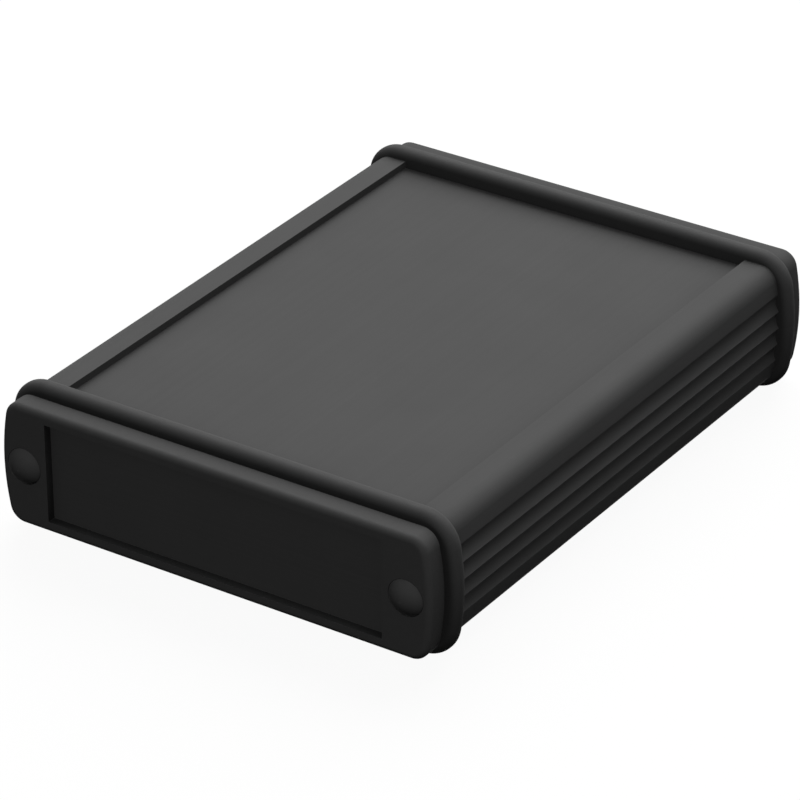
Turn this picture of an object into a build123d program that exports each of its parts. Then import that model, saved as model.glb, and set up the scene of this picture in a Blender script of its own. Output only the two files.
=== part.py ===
from build123d import *
import os
from math import sqrt

# An extruded aluminium enclosure for a circuit board, in millimetres.
# +Z is up, +Y runs along the extrusion and the front end faces -Y.
# The origin is on the surface that the enclosure stands on, under its middle.

# Extruded body
BODY_LENGTH = 124.0
BODY_HEIGHT = 27.6
CORNER_HALF_WIDTH = 50.0
SIDE_BULGE = 1.75
CORNER_RADIUS = 3.8
SIDE_WALL = 1.0
FLOOR_THICKNESS = 2.2
CAVITY_CORNER_RADIUS = 1.0

# Flutes along both sides
FLUTE_COUNT = 4
FLUTE_LAND = 5.66
FLUTE_DEPTH = 0.7

# Top rails and the cover that slides under them
RAIL_WIDTH = 7.0
RECESS_DEPTH = 1.65
COVER_THICKNESS = 1.6
COVER_GRIP = 2.4
COVER_SIDE_CLEARANCE = 0.15
COVER_TOP_CLEARANCE = 0.1
SHELF_THICKNESS = 1.8

# Board guides on the inner walls
BOARD_SLOT = 1.8
GUIDE_RIB = 1.1
GUIDE_REACH = 2.6

# Screws and the ports that they cut their thread in
SCREW_INSET = 3.95
SCREW_DIAMETER = 3.0
SCREW_GRIP = 9.0
SCREW_TIP_CHAMFER = 0.6
SCREW_HEAD_DIAMETER = 5.5
SCREW_HEAD_HEIGHT = 1.7
SCREW_SOCKET = 2.5
SCREW_SOCKET_SIDES = 6
SCREW_SOCKET_DEPTH = 1.0
SCREW_HEAD_CHAMFER = 0.3
SCREW_CLEARANCE = 0.4
PORT_CLEARANCE = 0.1
PORT_WALL = 1.5
PORT_MOUTH = 1.6

# Bezel rings
BEZEL_PROUD = 2.3
BEZEL_THICKNESS = 3.9
BEZEL_CREST = 0.4
BEZEL_CORNER_RADIUS = 8.0
BEZEL_OPENING_CORNER = 1.5
NECK_THICKNESS = 0.9
NECK_INSET = 1.2
SPIGOT_WALL = 1.8

# End caps
CAP_THICKNESS = 4.85
CAP_ROUND = 1.3
FRAME_SIDE = 9.5
FRAME_EDGE = 2.6
WINDOW_DEPTH = 2.0
CAP_FLOOR = 1.2

# End plates
PLATE_THICKNESS = 1.5
PLATE_RIM = 1.3
PLATE_RIM_HIGH = 0.8
PLATE_CLEARANCE = 0.1

# Domed covers over the screws
COVER_DOME_DIAMETER = 8.0
COVER_DOME_PROUD = 2.0
COVER_DOME_SEAT = 1.0
COVER_DOME_GAP = 0.1
STEM_CLEARANCE = 0.05

# Sizes that follow from those above
MID_HEIGHT = BEZEL_PROUD + BODY_HEIGHT / 2
HALF_HEIGHT = BODY_HEIGHT / 2
HALF_LENGTH = BODY_LENGTH / 2
INNER_HALF_WIDTH = CORNER_HALF_WIDTH - SIDE_WALL
FLUTE_PITCH = (BODY_HEIGHT - 2 * FLUTE_LAND) / FLUTE_COUNT
FLUTE_RADIUS = (FLUTE_DEPTH**2 + FLUTE_PITCH**2 / 4) / (2 * FLUTE_DEPTH)
RAIL_HALF_GAP = CORNER_HALF_WIDTH - RAIL_WIDTH
COVER_TOP = HALF_HEIGHT - RECESS_DEPTH
COVER_BOTTOM = COVER_TOP - COVER_THICKNESS
GROOVE_TOP = COVER_TOP + COVER_TOP_CLEARANCE
GROOVE_HALF_WIDTH = RAIL_HALF_GAP + COVER_GRIP + COVER_SIDE_CLEARANCE
CAVITY_TOP = COVER_BOTTOM - SHELF_THICKNESS
CAVITY_BOTTOM = FLOOR_THICKNESS - HALF_HEIGHT
GUIDE_HEIGHT = HALF_HEIGHT / 2
SCREW_HALF_SPACING = CORNER_HALF_WIDTH - SCREW_INSET
PORT_RADIUS = (SCREW_DIAMETER + PORT_CLEARANCE) / 2
BEZEL_ROUND = (BEZEL_THICKNESS - BEZEL_CREST) / 2
CAP_START = BEZEL_THICKNESS + NECK_THICKNESS
CAP_FRONT = CAP_START + CAP_THICKNESS
PLATE_FRONT = CAP_FRONT - WINDOW_DEPTH
PLATE_BACK = PLATE_FRONT - PLATE_THICKNESS
WINDOW_HALF_WIDTH = CORNER_HALF_WIDTH - FRAME_SIDE
WINDOW_HALF_HEIGHT = HALF_HEIGHT - FRAME_EDGE
PLATE_HALF_WIDTH = WINDOW_HALF_WIDTH + PLATE_RIM
PLATE_HALF_HEIGHT = WINDOW_HALF_HEIGHT + PLATE_RIM_HIGH
POCKET_HALF_WIDTH = PLATE_HALF_WIDTH + PLATE_CLEARANCE
POCKET_HALF_HEIGHT = PLATE_HALF_HEIGHT + PLATE_CLEARANCE
BEZEL_OPENING_HALF_WIDTH = PLATE_HALF_WIDTH - SPIGOT_WALL
BEZEL_OPENING_HALF_HEIGHT = PLATE_HALF_HEIGHT - SPIGOT_WALL
HEAD_SEAT = CAP_START + CAP_FLOOR
HEAD_TOP = HEAD_SEAT + SCREW_HEAD_HEIGHT
COVER_DOME_FOOT = CAP_FRONT - COVER_DOME_SEAT
SCREW_HOLE_RADIUS = (SCREW_DIAMETER + SCREW_CLEARANCE) / 2
HEAD_HOLE_RADIUS = (SCREW_HEAD_DIAMETER + SCREW_CLEARANCE) / 2
COVER_HOLE_RADIUS = COVER_DOME_DIAMETER / 2 + COVER_DOME_GAP

# Section plane through the middle of the extrusion, and a plane on each of its ends that faces outwards
SECTION = Plane(origin=(0, 0, MID_HEIGHT), x_dir=(1, 0, 0), z_dir=(0, -1, 0))
ENDS = {
    "front": Plane(origin=(0, -HALF_LENGTH, MID_HEIGHT), x_dir=(1, 0, 0), z_dir=(0, -1, 0)),
    "rear": Plane(origin=(0, HALF_LENGTH, MID_HEIGHT), x_dir=(-1, 0, 0), z_dir=(0, 1, 0)),
}
BOTH_SIDES = (-1, 1)
SCREW_POINTS = [(side * SCREW_HALF_SPACING, 0) for side in BOTH_SIDES]

os.makedirs("parts", exist_ok=True)


def save(builder, name):
    """Label the finished piece and write it to its own file."""
    builder.part.label = name
    export_step(builder.part, f"parts/{name}.step")


def end_outline(growth=0.0, corner_radius=CORNER_RADIUS):
    """The enclosure's outline seen from an end: flat top and bottom, bulged sides, round corners."""
    corner = (CORNER_HALF_WIDTH, HALF_HEIGHT)
    with BuildSketch() as outline:
        with BuildLine():
            for side in BOTH_SIDES:
                Line((-corner[0], side * corner[1]), (corner[0], side * corner[1]))
                ThreePointArc(
                    (side * corner[0], corner[1]),
                    (side * (corner[0] + SIDE_BULGE), 0),
                    (side * corner[0], -corner[1]),
                )
        make_face()
        fillet(outline.vertices(), corner_radius - growth)
        if growth:
            offset(amount=growth)
    return outline.sketch


def side_reach(height):
    """Half-width of the bulged outline at a height above or below its middle."""
    bulge_radius = (SIDE_BULGE**2 + HALF_HEIGHT**2) / (2 * SIDE_BULGE)
    return CORNER_HALF_WIDTH + SIDE_BULGE - bulge_radius + sqrt(bulge_radius**2 - height**2)


def flute_centres():
    """Centres of the circles that scoop the flutes out of both sides, with ridges on the outline."""
    half_pitch = FLUTE_PITCH / 2
    stand_off = sqrt(FLUTE_RADIUS**2 - half_pitch**2)
    centres = []
    for index in range(FLUTE_COUNT):
        height = (index - (FLUTE_COUNT - 1) / 2) * FLUTE_PITCH
        ridge = (side_reach(height - half_pitch) + side_reach(height + half_pitch)) / 2
        centres += [(side * (ridge + stand_off), height) for side in BOTH_SIDES]
    return centres


def band(half_width, bottom, top):
    """A rectangle across the section, from one height to another."""
    with BuildSketch() as strip:
        with Locations((0, (bottom + top) / 2)):
            Rectangle(2 * half_width, top - bottom)
    return strip.sketch


# Extruded body: one section with flutes, rails, cover grooves, board guides and screw ports
guide_offset = (BOARD_SLOT + GUIDE_RIB) / 2
guide_heights = [
    side * GUIDE_HEIGHT + edge * guide_offset for side in BOTH_SIDES for edge in BOTH_SIDES
]
guide_points = [
    (side * (INNER_HALF_WIDTH - GUIDE_REACH / 2), height) for side in BOTH_SIDES for height in guide_heights
]
web_points = [(side * (SCREW_HALF_SPACING + INNER_HALF_WIDTH) / 2, 0) for side in BOTH_SIDES]
web_length = INNER_HALF_WIDTH - SCREW_HALF_SPACING
mouth_points = [(side * (SCREW_HALF_SPACING - PORT_RADIUS - PORT_WALL / 2), 0) for side in BOTH_SIDES]

with BuildPart() as extruded_body:
    with BuildSketch(SECTION):
        add(end_outline())
        with Locations(*flute_centres()):
            Circle(FLUTE_RADIUS, mode=Mode.SUBTRACT)
        add(band(RAIL_HALF_GAP, CAVITY_BOTTOM, HALF_HEIGHT), mode=Mode.SUBTRACT)
        add(band(GROOVE_HALF_WIDTH, COVER_BOTTOM, GROOVE_TOP), mode=Mode.SUBTRACT)
        with Locations((0, (CAVITY_BOTTOM + CAVITY_TOP) / 2)):
            RectangleRounded(
                2 * INNER_HALF_WIDTH, CAVITY_TOP - CAVITY_BOTTOM, CAVITY_CORNER_RADIUS, mode=Mode.SUBTRACT
            )
        with Locations(*guide_points):
            Rectangle(GUIDE_REACH, GUIDE_RIB)
        with Locations(*SCREW_POINTS):
            Circle(PORT_RADIUS + PORT_WALL)
        with Locations(*web_points):
            Rectangle(web_length, 2 * PORT_RADIUS)
        with Locations(*SCREW_POINTS):
            Circle(PORT_RADIUS, mode=Mode.SUBTRACT)
        with Locations(*mouth_points):
            Rectangle(2 * PORT_WALL, PORT_MOUTH, mode=Mode.SUBTRACT)
    extrude(amount=HALF_LENGTH, both=True)
save(extruded_body, "extruded_body")

# Sliding cover: a flat plate whose edges sit in the grooves under the rails
with BuildPart() as sliding_cover:
    with BuildSketch(SECTION):
        add(band(RAIL_HALF_GAP + COVER_GRIP, COVER_BOTTOM, COVER_TOP))
    extrude(amount=HALF_LENGTH, both=True)
save(sliding_cover, "sliding_cover")

for end_name, end in ENDS.items():
    # Bezel: a round-edged ring against the extrusion, with a neck for the cap and a spigot for the plate
    with BuildPart() as bezel:
        with BuildSketch(end):
            add(end_outline(BEZEL_PROUD, BEZEL_CORNER_RADIUS))
        extrude(amount=BEZEL_THICKNESS)
        ring_faces = bezel.faces().sort_by(Axis.Y)
        fillet(ring_faces[0].edges() + ring_faces[-1].edges(), BEZEL_ROUND)
        with BuildSketch(end.offset(BEZEL_THICKNESS)):
            add(end_outline(-NECK_INSET, CORNER_RADIUS - NECK_INSET))
        extrude(amount=NECK_THICKNESS)
        with BuildSketch(end.offset(CAP_START)):
            Rectangle(2 * PLATE_HALF_WIDTH, 2 * PLATE_HALF_HEIGHT)
        extrude(amount=PLATE_BACK - CAP_START)
        with BuildSketch(end):
            RectangleRounded(
                2 * BEZEL_OPENING_HALF_WIDTH, 2 * BEZEL_OPENING_HALF_HEIGHT, BEZEL_OPENING_CORNER
            )
        extrude(amount=PLATE_BACK, mode=Mode.SUBTRACT)
        with BuildSketch(end):
            with Locations(*SCREW_POINTS):
                Circle(SCREW_HOLE_RADIUS)
        extrude(amount=CAP_START, mode=Mode.SUBTRACT)
    save(bezel, f"{end_name}_bezel")

    # End cap: a moulded frame with the window, a pocket for the plate and stepped screw holes
    with BuildPart() as end_cap:
        with BuildSketch(end.offset(CAP_START)):
            add(end_outline())
        extrude(amount=CAP_THICKNESS)
        cap_faces = end_cap.faces().sort_by(Axis(origin=end.origin, direction=end.z_dir))
        fillet(cap_faces[-1].edges(), CAP_ROUND)
        with BuildSketch(end.offset(CAP_START)):
            Rectangle(2 * POCKET_HALF_WIDTH, 2 * POCKET_HALF_HEIGHT)
        extrude(amount=PLATE_FRONT - CAP_START, mode=Mode.SUBTRACT)
        with BuildSketch(end.offset(CAP_START)):
            Rectangle(2 * WINDOW_HALF_WIDTH, 2 * WINDOW_HALF_HEIGHT)
        extrude(amount=CAP_THICKNESS, mode=Mode.SUBTRACT)
        with Locations(end.offset(CAP_FRONT)):
            with Locations(*SCREW_POINTS):
                CounterBoreHole(SCREW_HOLE_RADIUS, COVER_HOLE_RADIUS, COVER_DOME_SEAT)
                Hole(HEAD_HOLE_RADIUS, CAP_FRONT - HEAD_SEAT)
    save(end_cap, f"{end_name}_end_cap")

    # End plate: a flat panel held between the cap's window and the bezel's spigot
    with BuildPart() as end_plate:
        with BuildSketch(end.offset(PLATE_BACK)):
            Rectangle(2 * PLATE_HALF_WIDTH, 2 * PLATE_HALF_HEIGHT)
        extrude(amount=PLATE_THICKNESS)
    save(end_plate, f"{end_name}_end_plate")

# End screws: four socket screws through the caps and the bezels into the ports
with BuildPart() as end_screws:
    for end in ENDS.values():
        with BuildSketch(end.offset(HEAD_SEAT)):
            with Locations(*SCREW_POINTS):
                Circle(SCREW_HEAD_DIAMETER / 2)
        extrude(amount=SCREW_HEAD_HEIGHT)
        with BuildSketch(end.offset(-SCREW_GRIP)):
            with Locations(*SCREW_POINTS):
                Circle(SCREW_DIAMETER / 2)
        extrude(amount=SCREW_GRIP + HEAD_SEAT)
    screw_count = len(ENDS) * len(SCREW_POINTS)
    rims = end_screws.edges().filter_by(GeomType.CIRCLE).sort_by(lambda rim: abs(rim.center().Y))
    chamfer(rims[:screw_count], SCREW_TIP_CHAMFER)
    rims = end_screws.edges().filter_by(GeomType.CIRCLE).sort_by(lambda rim: abs(rim.center().Y))
    chamfer(rims[-screw_count:], SCREW_HEAD_CHAMFER)
    for end in ENDS.values():
        with BuildSketch(end.offset(HEAD_TOP)):
            with Locations(*SCREW_POINTS):
                RegularPolygon(SCREW_SOCKET / 2, side_count=SCREW_SOCKET_SIDES, major_radius=False)
        extrude(amount=-SCREW_SOCKET_DEPTH, mode=Mode.SUBTRACT)
save(end_screws, "end_screws")

# Screw covers: smooth domes whose stems press into the screws' sockets
stem_radius = SCREW_SOCKET / 2 - STEM_CLEARANCE
stem_foot = HEAD_TOP - SCREW_SOCKET_DEPTH + STEM_CLEARANCE
dome_radius = COVER_DOME_DIAMETER / 2
dome_top = CAP_FRONT + COVER_DOME_PROUD
for end_name, end in ENDS.items():
    for side_name, side in zip(("left", "right"), BOTH_SIDES):
        screw_axis = Plane(
            origin=(side * SCREW_HALF_SPACING, end.origin.Y, MID_HEIGHT),
            x_dir=(1, 0, 0),
            z_dir=(0, 0, end.z_dir.Y),
        )
        with BuildPart() as screw_cover:
            with BuildSketch(screw_axis):
                with BuildLine():
                    Polyline(
                        (0, dome_top),
                        (0, stem_foot),
                        (stem_radius, stem_foot),
                        (stem_radius, COVER_DOME_FOOT),
                        (dome_radius, COVER_DOME_FOOT),
                        (dome_radius, CAP_FRONT),
                    )
                    TangentArc((0, dome_top), (dome_radius, CAP_FRONT), tangent=(1, 0))
                make_face()
            revolve(axis=Axis(screw_axis.origin, screw_axis.y_dir))
        save(screw_cover, f"{end_name}_{side_name}_screw_cover")
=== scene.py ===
"""Looks for an extruded aluminium enclosure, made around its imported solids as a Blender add-on."""
import math

import bmesh
import bpy
from bpy.props import FloatProperty
from bpy.props import FloatVectorProperty
from bpy.props import IntProperty
from bpy.props import PointerProperty
from mathutils import Matrix

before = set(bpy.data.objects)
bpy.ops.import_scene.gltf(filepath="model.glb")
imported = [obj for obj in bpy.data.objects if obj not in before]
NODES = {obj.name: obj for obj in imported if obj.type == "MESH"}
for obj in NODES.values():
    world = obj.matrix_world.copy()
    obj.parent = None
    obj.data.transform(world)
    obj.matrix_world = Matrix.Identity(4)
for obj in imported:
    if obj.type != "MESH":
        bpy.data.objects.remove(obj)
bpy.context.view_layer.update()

bl_info = {
    "name": "Extruded aluminium enclosure",
    "version": (1, 0, 0),
    "blender": (4, 5, 0),
    "location": "3D View > Sidebar > Enclosure",
    "description": "Finishes for each piece of a black extruded enclosure, and a plain studio to see it in",
    "category": "Object",
}

ENDS = ("front", "rear")
SIDES = ("left", "right")
MILLIMETRE = 0.001
WHITE = (1.0, 1.0, 1.0, 1.0)
MATRIX_SIZE = 4
AXES = 3
LENGTHWISE = (0.0, 1.0, 0.0)

# Fineness of the noises that vary the finishes
CLOUD_DETAIL = 3.0
STREAK_DETAIL = 2.0
GRAIN_DETAIL = 4.0
NOISE_ROUGHNESS = 0.5

# How far the rounded normal agrees with the true one where wear starts and where it is full
WEAR_STARTS = 1.0
WEAR_FULL = 0.75

# Painted shade in inner corners: how open the most hidden corners are, and how many rays look for them
PAINTED_SHADE_OPEN = 0.5
PAINTED_SHADE_SAMPLES = 8

# What sets each finish apart from the plain one: its streaks per metre, its tone and its painted corner shade
FINISHES = {
    "extrusion": {"streaks": (900.0, 4.0, 900.0), "painted_shade_reach": 25.0 * MILLIMETRE, "painted_shade_depth": 0.35},
    "plates": {"streaks": (8.0, 8.0, 2500.0), "painted_shade_depth": 0.35},
    "bezels": {
        "streaks": (700.0, 700.0, 700.0),
        "colour": (0.085, 0.085, 0.085),
        "painted_shade_reach": 30.0 * MILLIMETRE,
        "painted_shade_depth": 0.5,
        "painted_shade_end_share": 1.0,
    },
    "caps": {"streaks": (900.0, 900.0, 900.0), "painted_shade_depth": 0.8},
}

# The lamp behind the enclosure, and the weak one before it on the right that opens the shadows
LAMPS = {
    "back_lamp": {
        "azimuth": math.radians(200.0),
        "elevation": math.radians(45.0),
        "side": 1.2,
        "power": 21.5,
    },
    "front_lamp": {
        "azimuth": math.radians(46.0),
        "elevation": math.radians(55.0),
        "side": 0.3,
        "power": 3.65,
    },
}
SHADOWLESS = ("front_lamp",)


def node_tree(name):
    """A new material's node tree with its surface shader, cleared of everything else."""
    material = bpy.data.materials.new(name)
    material.use_nodes = True
    tree = material.node_tree
    tree.nodes.clear()
    output = tree.nodes.new("ShaderNodeOutputMaterial")
    shader = tree.nodes.new("ShaderNodeBsdfPrincipled")
    tree.links.new(shader.outputs["BSDF"], output.inputs["Surface"])
    return material, tree, shader


def stretched_noise(tree, per_metre, detail):
    """Noise in the part's own coordinates, with its own fineness along each axis."""
    place = tree.nodes.new("ShaderNodeTexCoord")
    stretch = tree.nodes.new("ShaderNodeMapping")
    stretch.inputs["Scale"].default_value = per_metre
    noise = tree.nodes.new("ShaderNodeTexNoise")
    noise.inputs["Scale"].default_value = 1.0
    noise.inputs["Detail"].default_value = detail
    noise.inputs["Roughness"].default_value = NOISE_ROUGHNESS
    tree.links.new(place.outputs["Object"], stretch.inputs["Vector"])
    tree.links.new(stretch.outputs["Vector"], noise.inputs["Vector"])
    return noise.outputs["Fac"]


def spread(tree, value, low, high):
    """A value from 0 to 1, mapped to a range."""
    span = tree.nodes.new("ShaderNodeMapRange")
    span.inputs["To Min"].default_value = low
    span.inputs["To Max"].default_value = high
    tree.links.new(value, span.inputs["Value"])
    return span.outputs["Result"]


def product(tree, first, second):
    """Two values multiplied."""
    times = tree.nodes.new("ShaderNodeMath")
    times.operation = "MULTIPLY"
    tree.links.new(first, times.inputs[0])
    tree.links.new(second, times.inputs[1])
    return times.outputs["Value"]


def tinted(tree, colour, value):
    """A colour made lighter or darker by a value around 1."""
    shade = tree.nodes.new("ShaderNodeVectorMath")
    shade.operation = "SCALE"
    shade.inputs[0].default_value = colour
    tree.links.new(value, shade.inputs["Scale"])
    return shade.outputs["Vector"]


def worn_edges(tree, radius, amount):
    """The share of wear near sharp edges, where a rounded normal leaves the true one."""
    rounded = tree.nodes.new("ShaderNodeBevel")
    rounded.inputs["Radius"].default_value = radius
    surface = tree.nodes.new("ShaderNodeNewGeometry")
    agree = tree.nodes.new("ShaderNodeVectorMath")
    agree.operation = "DOT_PRODUCT"
    tree.links.new(rounded.outputs["Normal"], agree.inputs[0])
    tree.links.new(surface.outputs["Normal"], agree.inputs[1])
    wear = tree.nodes.new("ShaderNodeMapRange")
    wear.inputs["From Min"].default_value = WEAR_STARTS
    wear.inputs["From Max"].default_value = WEAR_FULL
    wear.inputs["To Max"].default_value = amount
    tree.links.new(agree.outputs["Value"], wear.inputs["Value"])
    return wear.outputs["Result"]


def painted_corner_shade(tree, reach, depth, end_share):
    """Painted shade: a tone that falls towards inner corners, and only by a share on faces that look
    lengthwise.
    """
    painted_shade = tree.nodes.new("ShaderNodeAmbientOcclusion")
    painted_shade.samples = PAINTED_SHADE_SAMPLES
    painted_shade.inputs["Distance"].default_value = reach
    loss = tree.nodes.new("ShaderNodeMapRange")
    loss.inputs["From Min"].default_value = PAINTED_SHADE_OPEN
    loss.inputs["To Min"].default_value = depth
    loss.inputs["To Max"].default_value = 0.0
    tree.links.new(painted_shade.outputs["AO"], loss.inputs["Value"])
    surface = tree.nodes.new("ShaderNodeNewGeometry")
    along = tree.nodes.new("ShaderNodeVectorMath")
    along.operation = "DOT_PRODUCT"
    along.inputs[1].default_value = LENGTHWISE
    tree.links.new(surface.outputs["Normal"], along.inputs[0])
    size = tree.nodes.new("ShaderNodeMath")
    size.operation = "ABSOLUTE"
    tree.links.new(along.outputs["Value"], size.inputs[0])
    across = spread(tree, size.outputs["Value"], 1.0, end_share)
    return spread(tree, product(tree, loss.outputs["Result"], across), 1.0, 0.0)


def raised(tree, height, depth):
    """A normal roughened by a height that spans a real depth."""
    bump = tree.nodes.new("ShaderNodeBump")
    bump.inputs["Distance"].default_value = depth
    tree.links.new(height, bump.inputs["Height"])
    return bump.outputs["Normal"]


def black_finish(name, settings):
    """A black surface: cloudy tone, streaks or speckle, painted shade in corners, fine grain, and paler worn
    edges.
    """
    material, tree, shader = node_tree(name)
    cloud = stretched_noise(tree, (settings.cloud_fineness,) * AXES, CLOUD_DETAIL)
    streak = stretched_noise(tree, settings.streaks, STREAK_DETAIL)
    grain = stretched_noise(tree, (settings.grain_fineness,) * AXES, GRAIN_DETAIL)
    tone = product(
        tree,
        spread(tree, cloud, 1.0 - settings.cloud_tone, 1.0 + settings.cloud_tone),
        spread(tree, streak, 1.0 - settings.streak_tone, 1.0 + settings.streak_tone),
    )
    # Painted shade: the tone darkens towards inner corners and near the floor, where occlusion finds them
    painted_shade = painted_corner_shade(tree, settings.painted_shade_reach, settings.painted_shade_depth, settings.painted_shade_end_share)
    tone = product(tree, tone, painted_shade)
    colour = tinted(tree, settings.colour, tone)
    wear = worn_edges(tree, settings.wear_width, settings.wear)
    mix = tree.nodes.new("ShaderNodeMix")
    mix.data_type = "RGBA"
    mix.inputs["B"].default_value = (*settings.worn_colour, 1.0)
    tree.links.new(product(tree, wear, grain), mix.inputs["Factor"])
    tree.links.new(colour, mix.inputs["A"])
    tree.links.new(mix.outputs["Result"], shader.inputs["Base Color"])
    smoothest = settings.roughness - settings.roughness_spread
    roughest = settings.roughness + settings.roughness_spread
    tree.links.new(spread(tree, streak, smoothest, roughest), shader.inputs["Roughness"])
    tree.links.new(raised(tree, grain, settings.grain_depth), shader.inputs["Normal"])
    shader.inputs["Base Color"].default_value = (*settings.colour, 1.0)
    shader.inputs["Roughness"].default_value = settings.roughness
    shader.inputs["Specular IOR Level"].default_value = settings.gloss
    return material


def dress(material, *names):
    """Give solids this material in their only slot."""
    for name in names:
        NODES[name].data.materials.clear()
        NODES[name].data.materials.append(material)


class BlackFinish(bpy.types.PropertyGroup):
    """Sizes and colours of one black finish."""

    colour: FloatVectorProperty(
        name="Colour", description="Tone of the clean surface", subtype="COLOR",
        default=(0.088, 0.088, 0.088),
    )
    worn_colour: FloatVectorProperty(
        name="Worn colour", description="Tone where edges are rubbed", subtype="COLOR",
        default=(0.14, 0.14, 0.14),
    )
    wear: FloatProperty(
        name="Wear", description="Share of the worn tone on edges", subtype="FACTOR",
        default=0.5,
    )
    wear_width: FloatProperty(
        name="Wear width", description="How far wear reaches from an edge", unit="LENGTH",
        default=0.2 * MILLIMETRE,
    )
    # Painted shade: the three settings below darken the colour towards inner corners and near the floor
    painted_shade_reach: FloatProperty(
        name="Corner reach", description="How far shade reaches from inner corners", unit="LENGTH",
        default=8.0 * MILLIMETRE,
    )
    painted_shade_depth: FloatProperty(
        name="Corner depth", description="Share of the tone lost in inner corners", subtype="FACTOR",
        default=0.7,
    )
    painted_shade_end_share: FloatProperty(
        name="Corner end share", description="Share of the shade on faces that look lengthwise",
        subtype="FACTOR",
        default=0.0,
    )
    roughness: FloatProperty(name="Roughness", description="Mean roughness", subtype="FACTOR", default=0.55)
    roughness_spread: FloatProperty(
        name="Roughness spread", description="Rise and fall of the roughness", subtype="FACTOR",
        default=0.06,
    )
    gloss: FloatProperty(
        name="Gloss", description="Strength of the reflection", subtype="FACTOR",
        default=0.003,
    )
    cloud_fineness: FloatProperty(
        name="Cloud fineness", description="Clouds of tone per metre",
        default=60.0,
    )
    cloud_tone: FloatProperty(
        name="Cloud tone", description="Rise and fall of the tone in clouds", subtype="FACTOR", default=0.05
    )
    streaks: FloatVectorProperty(
        name="Streaks", description="Streaks per metre along each axis", default=(900.0, 900.0, 900.0)
    )
    streak_tone: FloatProperty(
        name="Streak tone", description="Rise and fall of the tone in streaks", subtype="FACTOR",
        default=0.05,
    )
    grain_fineness: FloatProperty(name="Grain fineness", description="Grains per metre", default=5000.0)
    grain_depth: FloatProperty(
        name="Grain depth", description="Height of the grain", unit="LENGTH", default=0.008 * MILLIMETRE
    )


class SteelFinish(bpy.types.PropertyGroup):
    """Sizes and colours of the plated steel."""

    colour: FloatVectorProperty(
        name="Colour", description="Mean tone of the plating", subtype="COLOR", default=(0.4, 0.4, 0.41)
    )
    tone: FloatProperty(
        name="Tone", description="Rise and fall of the tone", subtype="FACTOR",
        default=0.15,
    )
    smoothest: FloatProperty(
        name="Smoothest", description="Least roughness", subtype="FACTOR",
        default=0.25,
    )
    roughest: FloatProperty(
        name="Roughest", description="Greatest roughness", subtype="FACTOR",
        default=0.4,
    )
    fineness: FloatProperty(name="Fineness", description="Clouds of tone per metre", default=1500.0)


class Lamp(bpy.types.PropertyGroup):
    """One square soft lamp that faces the enclosure."""

    azimuth: FloatProperty(
        name="Azimuth", description="Turn about the upright, from the front", subtype="ANGLE", default=0.0
    )
    elevation: FloatProperty(
        name="Elevation", description="Height over the floor, as an angle", subtype="ANGLE",
        default=math.radians(45.0),
    )
    distance: FloatProperty(
        name="Distance", description="Distance from the enclosure", unit="LENGTH",
        default=1.2,
    )
    side: FloatProperty(name="Side", description="Side of the lamp's square", unit="LENGTH", default=1.2)
    power: FloatProperty(name="Power", description="Power of the lamp", unit="POWER", default=10.0)


class Studio(bpy.types.PropertyGroup):
    """Camera, lamps and floor of the plain studio."""

    camera_place: FloatVectorProperty(
        name="Camera place", description="Where the camera stands", subtype="TRANSLATION",
        default=(0.472037, -0.705055, 0.485382),
    )
    camera_azimuth: FloatProperty(
        name="Azimuth", description="Turn of the view about the upright", subtype="ANGLE",
        default=math.radians(33.981),
    )
    camera_elevation: FloatProperty(
        name="Elevation", description="Height of the view over the floor", subtype="ANGLE",
        default=math.radians(29.1608),
    )
    camera_roll: FloatProperty(
        name="Roll", description="Turn of the view about its own axis", subtype="ANGLE",
        default=math.radians(-0.4117),
    )
    lens: FloatProperty(name="Lens", description="Focal length in millimetres", default=210.596)
    sensor: FloatProperty(name="Sensor", description="Width of the sensor in millimetres", default=36.0)
    back_lamp: PointerProperty(type=Lamp, name="Back lamp", description="The lamp behind the enclosure")
    front_lamp: PointerProperty(
        type=Lamp, name="Front lamp",
        description="The weak lamp before the enclosure",
    )
    fill: FloatProperty(
        name="Fill light", description="Even light from all round on the object", subtype="FACTOR",
        default=0.11,
    )
    floor_side: FloatProperty(
        name="Floor side", description="Side of the floor", unit="LENGTH",
        default=6.0,
    )
    floor_segments: IntProperty(
        name="Floor segments", description="Faces along each side of the floor",
        default=8,
    )
    floor_glow: FloatProperty(
        name="Floor glow", description="Share of the floor's white that no shadow dims", subtype="FACTOR",
        default=0.92,
    )
    floor_fade: FloatProperty(
        name="Floor fade", description="Distance at which the floor is all white", unit="LENGTH",
        default=0.6,
    )
    floor_bounce: FloatVectorProperty(
        name="Floor bounce", description="Tone with which the floor lights the object", subtype="COLOR",
        default=(0.01, 0.01, 0.01),
    )


class EnclosureSettings(bpy.types.PropertyGroup):
    """All the settings of the enclosure's looks."""

    extrusion: PointerProperty(
        type=BlackFinish, name="Extrusion",
        description="Finish of the body and the cover",
    )
    plates: PointerProperty(type=BlackFinish, name="End plates", description="Finish of the end plates")
    bezels: PointerProperty(type=BlackFinish, name="Bezels", description="Finish of the bezel rings")
    caps: PointerProperty(
        type=BlackFinish, name="End caps",
        description="Finish of the caps and the screw covers",
    )
    screws: PointerProperty(type=SteelFinish, name="Screws", description="Finish of the end screws")
    studio: PointerProperty(type=Studio, name="Studio", description="Camera, lamps and floor")


class ENCLOSURE_OT_extrusion(bpy.types.Operator):
    """Black anodised finish, with die lines along the extrusion, on the body and its cover"""

    bl_idname = "enclosure.extrusion"
    bl_label = "Finish the extrusion"

    def execute(self, context):
        settings = context.scene.enclosure.extrusion
        dress(black_finish("anodised_extrusion", settings), "extruded_body", "sliding_cover")
        return {"FINISHED"}


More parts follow.
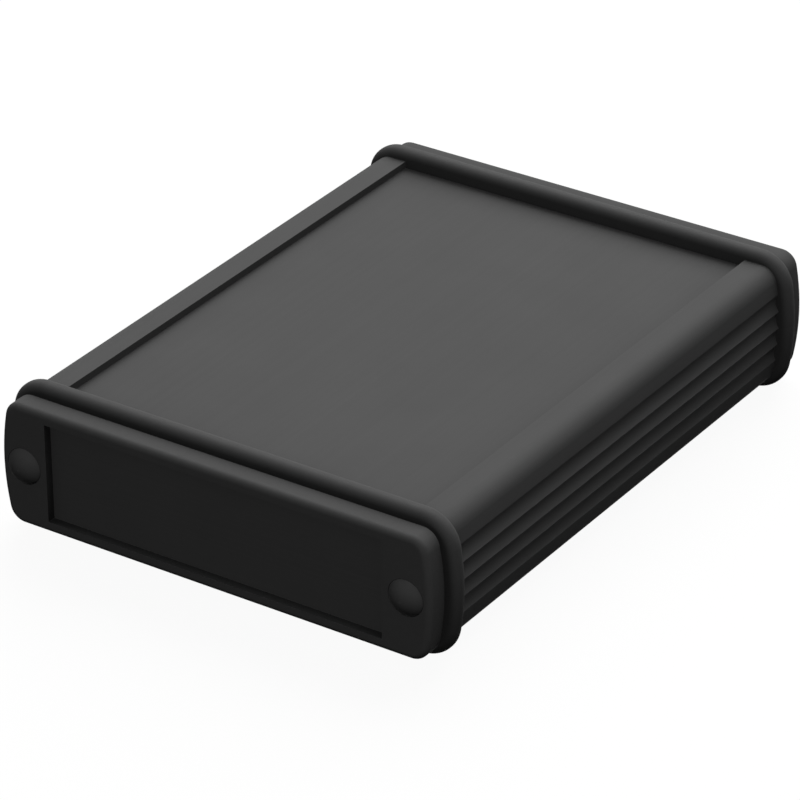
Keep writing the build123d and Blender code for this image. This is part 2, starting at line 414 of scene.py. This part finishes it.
class ENCLOSURE_OT_plates(bpy.types.Operator):
    """Black anodised sheet, brushed across, on the end plates"""

    bl_idname = "enclosure.plates"
    bl_label = "Finish the end plates"

    def execute(self, context):
        settings = context.scene.enclosure.plates
        material = black_finish("anodised_sheet", settings)
        dress(material, *[f"{end}_end_plate" for end in ENDS])
        return {"FINISHED"}


class ENCLOSURE_OT_bezels(bpy.types.Operator):
    """Soft matt moulding on the two bezel rings"""

    bl_idname = "enclosure.bezels"
    bl_label = "Finish the bezels"

    def execute(self, context):
        settings = context.scene.enclosure.bezels
        dress(black_finish("bezel_moulding", settings), *[f"{end}_bezel" for end in ENDS])
        return {"FINISHED"}


class ENCLOSURE_OT_caps(bpy.types.Operator):
    """Fine textured moulding on the end caps and the screw covers"""

    bl_idname = "enclosure.caps"
    bl_label = "Finish the end caps"

    def execute(self, context):
        settings = context.scene.enclosure.caps
        material = black_finish("cap_moulding", settings)
        dress(material, *[f"{end}_end_cap" for end in ENDS])
        dress(material, *[f"{end}_{side}_screw_cover" for end in ENDS for side in SIDES])
        return {"FINISHED"}


class ENCLOSURE_OT_screws(bpy.types.Operator):
    """Plated steel on the end screws"""

    bl_idname = "enclosure.screws"
    bl_label = "Finish the screws"

    def execute(self, context):
        settings = context.scene.enclosure.screws
        material, tree, shader = node_tree("plated_steel")
        shade = stretched_noise(tree, (settings.fineness,) * AXES, CLOUD_DETAIL)
        tone = spread(tree, shade, 1.0 - settings.tone, 1.0 + settings.tone)
        tree.links.new(tinted(tree, settings.colour, tone), shader.inputs["Base Color"])
        tree.links.new(spread(tree, shade, settings.smoothest, settings.roughest), shader.inputs["Roughness"])
        shader.inputs["Metallic"].default_value = 1.0
        dress(material, "end_screws")
        return {"FINISHED"}


class ENCLOSURE_OT_studio(bpy.types.Operator):
    """White floor, two soft lamps, an even fill and the camera"""

    bl_idname = "enclosure.studio"
    bl_label = "Set up the studio"

    def execute(self, context):
        settings = context.scene.enclosure.studio
        scene = context.scene
        scene.view_settings.view_transform = "Standard"
        self.add_floor(scene, settings)
        self.add_world(scene, settings)
        for name in LAMPS:
            self.add_lamp(scene, name, getattr(settings, name))
        self.add_camera(scene, settings)
        return {"FINISHED"}

    def seen_directly(self, tree):
        """1 for rays that show the background, straight or reflected, and 0 for rays that only light."""
        path = tree.nodes.new("ShaderNodeLightPath")
        total = path.outputs["Is Camera Ray"]
        for kind in ("Is Glossy Ray", "Is Transmission Ray"):
            either = tree.nodes.new("ShaderNodeMath")
            either.operation = "MAXIMUM"
            tree.links.new(total, either.inputs[0])
            tree.links.new(path.outputs[kind], either.inputs[1])
            total = either.outputs["Value"]
        return total

    def fading_glow(self, tree, settings):
        """The share of the floor's white that no shadow dims: the whole of it away from the enclosure."""
        place = tree.nodes.new("ShaderNodeTexCoord")
        away = tree.nodes.new("ShaderNodeVectorMath")
        away.operation = "LENGTH"
        tree.links.new(place.outputs["Object"], away.inputs[0])
        share = tree.nodes.new("ShaderNodeMapRange")
        share.inputs["From Max"].default_value = settings.floor_fade
        share.inputs["To Min"].default_value = settings.floor_glow
        tree.links.new(away.outputs["Value"], share.inputs["Value"])
        return share.outputs["Result"]

    def add_floor(self, scene, settings):
        """A floor that shows white with a faint shadow, and hardly lights the enclosure."""
        shape = bmesh.new()
        count = settings.floor_segments
        bmesh.ops.create_grid(shape, x_segments=count, y_segments=count, size=settings.floor_side / 2)
        mesh = bpy.data.meshes.new("studio_floor")
        shape.to_mesh(mesh)
        shape.free()
        floor = bpy.data.objects.new("studio_floor", mesh)
        scene.collection.objects.link(floor)
        material = bpy.data.materials.new("white_floor")
        material.use_nodes = True
        tree = material.node_tree
        tree.nodes.clear()
        output = tree.nodes.new("ShaderNodeOutputMaterial")
        bounce = tree.nodes.new("ShaderNodeBsdfDiffuse")
        bounce.inputs["Color"].default_value = (*settings.floor_bounce, 1.0)
        white = tree.nodes.new("ShaderNodeBsdfDiffuse")
        white.inputs["Color"].default_value = WHITE
        glow = tree.nodes.new("ShaderNodeEmission")
        shown = tree.nodes.new("ShaderNodeMixShader")
        tree.links.new(self.fading_glow(tree, settings), shown.inputs["Fac"])
        tree.links.new(white.outputs["BSDF"], shown.inputs[1])
        tree.links.new(glow.outputs["Emission"], shown.inputs[2])
        mix = tree.nodes.new("ShaderNodeMixShader")
        tree.links.new(self.seen_directly(tree), mix.inputs["Fac"])
        tree.links.new(bounce.outputs["BSDF"], mix.inputs[1])
        tree.links.new(shown.outputs["Shader"], mix.inputs[2])
        tree.links.new(mix.outputs["Shader"], output.inputs["Surface"])
        mesh.materials.append(material)

    def add_world(self, scene, settings):
        """A surround that shows white, and lights the enclosure with a weak even fill."""
        world = bpy.data.worlds.new("white_surround")
        scene.world = world
        world.use_nodes = True
        tree = world.node_tree
        tree.nodes.clear()
        output = tree.nodes.new("ShaderNodeOutputWorld")
        lit = tree.nodes.new("ShaderNodeBackground")
        lit.inputs["Strength"].default_value = settings.fill
        seen = tree.nodes.new("ShaderNodeBackground")
        seen.inputs["Strength"].default_value = 1.0
        for background in (lit, seen):
            background.inputs["Color"].default_value = WHITE
        mix = tree.nodes.new("ShaderNodeMixShader")
        tree.links.new(self.seen_directly(tree), mix.inputs["Fac"])
        tree.links.new(lit.outputs["Background"], mix.inputs[1])
        tree.links.new(seen.outputs["Background"], mix.inputs[2])
        tree.links.new(mix.outputs["Shader"], output.inputs["Surface"])

    def add_lamp(self, scene, name, settings):
        """A square lamp on a sphere round the enclosure, facing its middle."""
        data = bpy.data.lights.new(name, "AREA")
        data.energy = settings.power
        data.size = settings.side
        data.use_shadow = name not in SHADOWLESS
        lamp = bpy.data.objects.new(name, data)
        turn = Matrix.Rotation(settings.azimuth, MATRIX_SIZE, "Z")
        tilt = Matrix.Rotation(math.pi / 2 - settings.elevation, MATRIX_SIZE, "X")
        lamp.matrix_world = turn @ tilt @ Matrix.Translation((0.0, 0.0, settings.distance))
        scene.collection.objects.link(lamp)

    def add_camera(self, scene, settings):
        """The camera at the photo's place and angle."""
        data = bpy.data.cameras.new("photo_camera")
        data.sensor_width = settings.sensor
        data.lens = settings.lens
        camera = bpy.data.objects.new("photo_camera", data)
        turn = Matrix.Rotation(settings.camera_azimuth, MATRIX_SIZE, "Z")
        tilt = Matrix.Rotation(math.pi / 2 - settings.camera_elevation, MATRIX_SIZE, "X")
        roll = Matrix.Rotation(settings.camera_roll, MATRIX_SIZE, "Z")
        camera.matrix_world = Matrix.Translation(settings.camera_place) @ turn @ tilt @ roll
        scene.collection.objects.link(camera)
        scene.camera = camera


class ENCLOSURE_PT_panel(bpy.types.Panel):
    """The steps that dress the enclosure, in order"""

    bl_label = "Enclosure"
    bl_idname = "ENCLOSURE_PT_panel"
    bl_space_type = "VIEW_3D"
    bl_region_type = "UI"
    bl_category = "Enclosure"

    def draw(self, context):
        for step in STEPS:
            self.layout.operator(step.bl_idname)


STEPS = (
    ENCLOSURE_OT_extrusion,
    ENCLOSURE_OT_plates,
    ENCLOSURE_OT_bezels,
    ENCLOSURE_OT_caps,
    ENCLOSURE_OT_screws,
    ENCLOSURE_OT_studio,
)
CLASSES = (BlackFinish, SteelFinish, Lamp, Studio, EnclosureSettings, *STEPS, ENCLOSURE_PT_panel)


def register():
    for item in CLASSES:
        bpy.utils.register_class(item)
    bpy.types.Scene.enclosure = PointerProperty(type=EnclosureSettings)


def unregister():
    del bpy.types.Scene.enclosure
    for item in reversed(CLASSES):
        bpy.utils.unregister_class(item)


def apply_presets(settings):
    """Set what each finish and each lamp has of its own."""
    for owner, presets in ((settings, FINISHES), (settings.studio, LAMPS)):
        for name, values in presets.items():
            for key, value in values.items():
                setattr(getattr(owner, name), key, value)


def main():
    register()
    apply_presets(bpy.context.scene.enclosure)
    bpy.ops.enclosure.extrusion()
    bpy.ops.enclosure.plates()
    bpy.ops.enclosure.bezels()
    bpy.ops.enclosure.caps()
    bpy.ops.enclosure.screws()
    bpy.ops.enclosure.studio()


if __name__ == "__main__":
    main()
